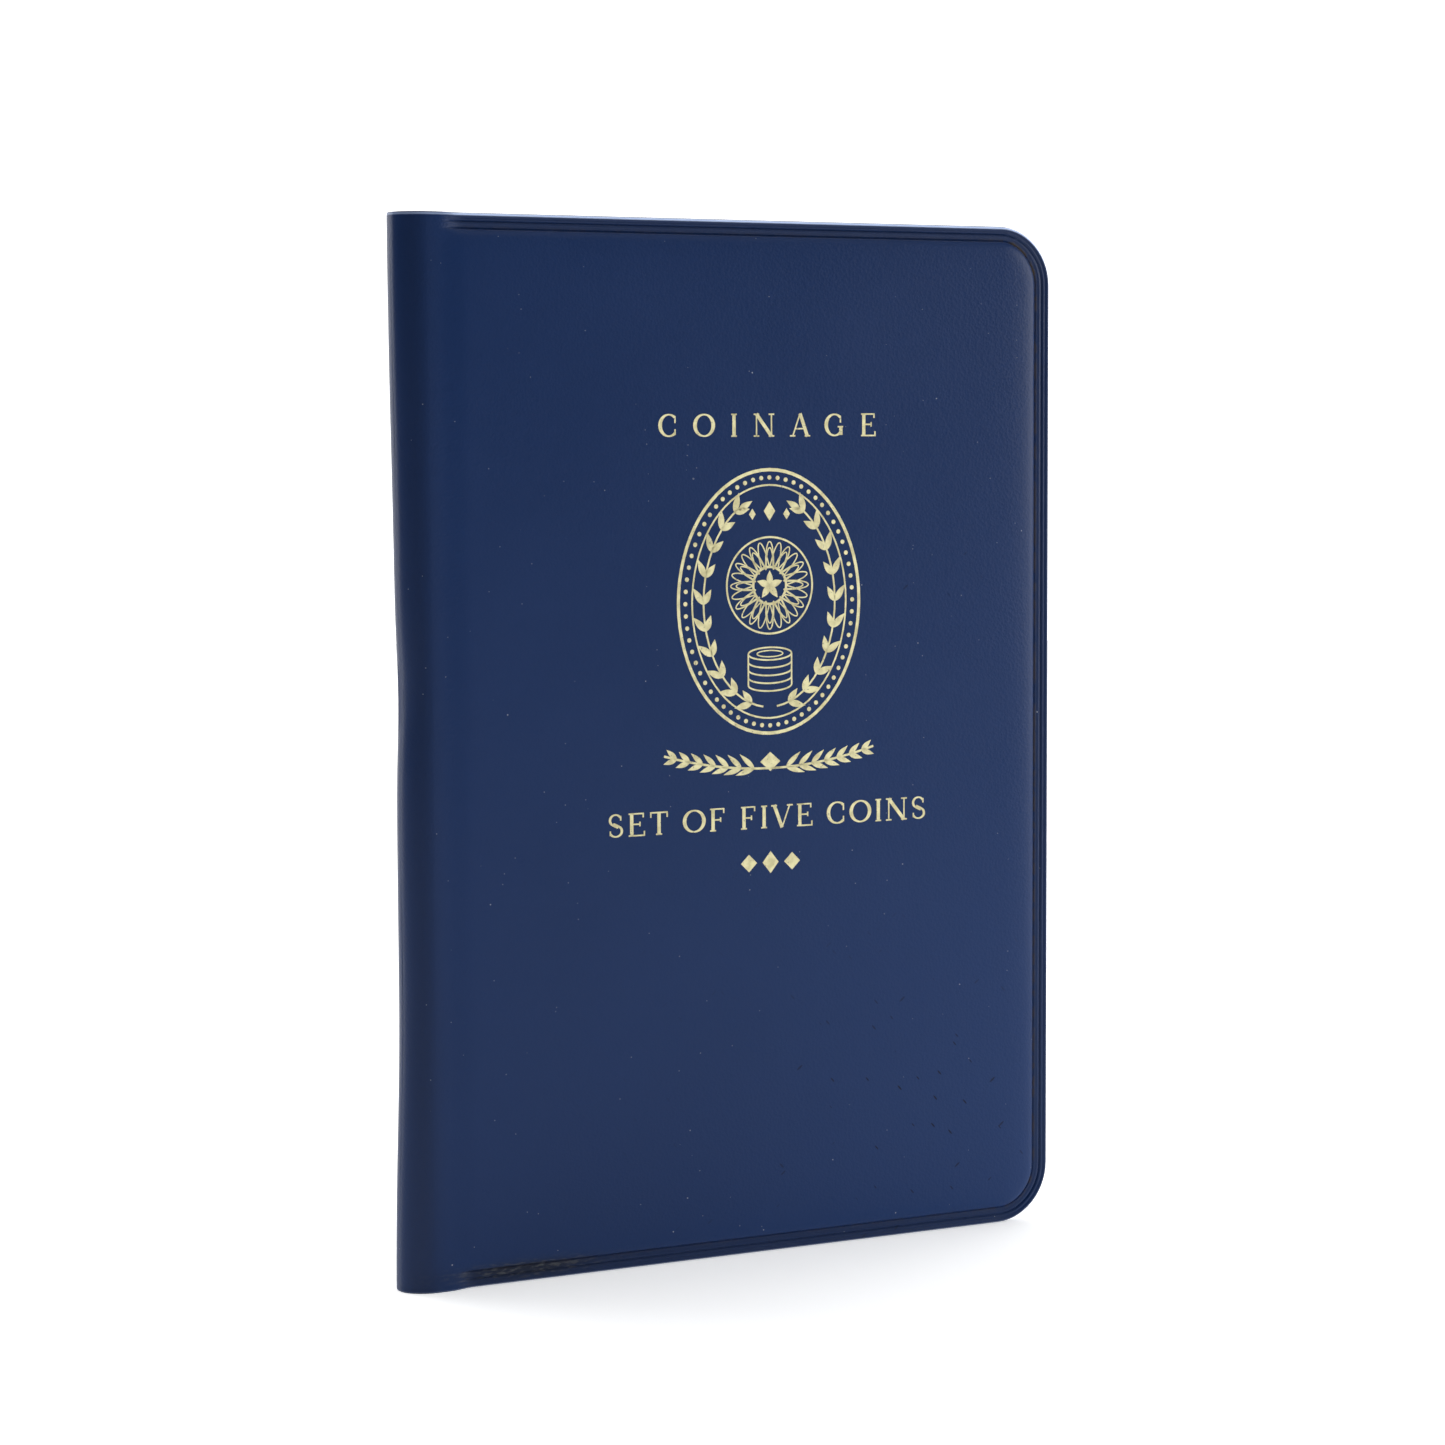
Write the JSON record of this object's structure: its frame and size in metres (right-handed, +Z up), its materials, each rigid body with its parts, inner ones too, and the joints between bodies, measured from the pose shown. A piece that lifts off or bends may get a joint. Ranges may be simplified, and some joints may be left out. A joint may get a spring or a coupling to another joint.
{
  "type": "coin album",
  "caption": "Upright folding coin wallet with padded vinyl covers, a turning leaf of windowed coins and a slip-in card.",
  "frame": {"origin": "centre of the album's box at the surface it stands on, at rest with its covers a little open", "axes": "+Z up along the spine, +X from the spine to the free edges, -Y out of the front cover's side"},
  "size_m": [0.0964, 0.0266, 0.14],
  "materials": {
    "cover_vinyl": "satin navy blue vinyl, fine grain",
    "lining_vinyl": "smooth navy blue vinyl",
    "foam_padding": "thin foam sheet",
    "cover_board": "grey-brown board",
    "clear_film": "clear flexible film",
    "printed_card": "coated card",
    "mount_card": "blue-faced card",
    "nickel_coin": "struck cupro-nickel",
    "bronze_coin": "struck bronze",
    "gold_foil": "hot-stamped pale gold foil"
  },
  "bodies": {
    "spine": {"spine_strip": "cover_vinyl"},
    "front_cover": {"front_cover_skin": "cover_vinyl", "front_padding": "foam_padding", "front_board": "cover_board", "front_lining": "lining_vinyl", "front_pocket": "clear_film", "cover_foil": "gold_foil"},
    "back_cover": {"back_cover_skin": "cover_vinyl", "back_padding": "foam_padding", "back_board": "cover_board", "back_lining": "lining_vinyl"},
    "coin_leaf": {"leaf_guard": "lining_vinyl", "leaf_front_window": "clear_film", "leaf_back_window": "clear_film", "coin_mount": "mount_card", "coin_fifty": "nickel_coin", "coin_twenty_five": "nickel_coin", "coin_ten": "nickel_coin", "coin_five": "nickel_coin", "coin_one": "bronze_coin"},
    "card": {"slip_card": "printed_card"}
  },
  "joints": [
    {"name": "front_cover_fold", "type": "hinge", "parent": "spine", "child": "front_cover", "pos_m": [-0.04723, -0.00256, 0.07], "axis": [0, 0, -1], "range_deg": [-6, 84]},
    {"name": "back_cover_fold", "type": "hinge", "parent": "spine", "child": "back_cover", "pos_m": [-0.04723, 0.00256, 0.07], "axis": [0, 0, 1], "range_deg": [-6, 84]},
    {"name": "leaf_turn", "type": "hinge", "parent": "spine", "child": "coin_leaf", "pos_m": [-0.04627, 0.00035, 0.07], "axis": [0, 0, -1], "range_deg": [-3, 42]},
    {"name": "card_draw", "type": "slide", "parent": "front_cover", "child": "card", "axis": [0, 0, 1], "range_m": [0, 0.095]}
  ],
  "couplings": [
    {"joint": "leaf_turn", "follows": "front_cover_fold", "ratio": 0.5}
  ]
}
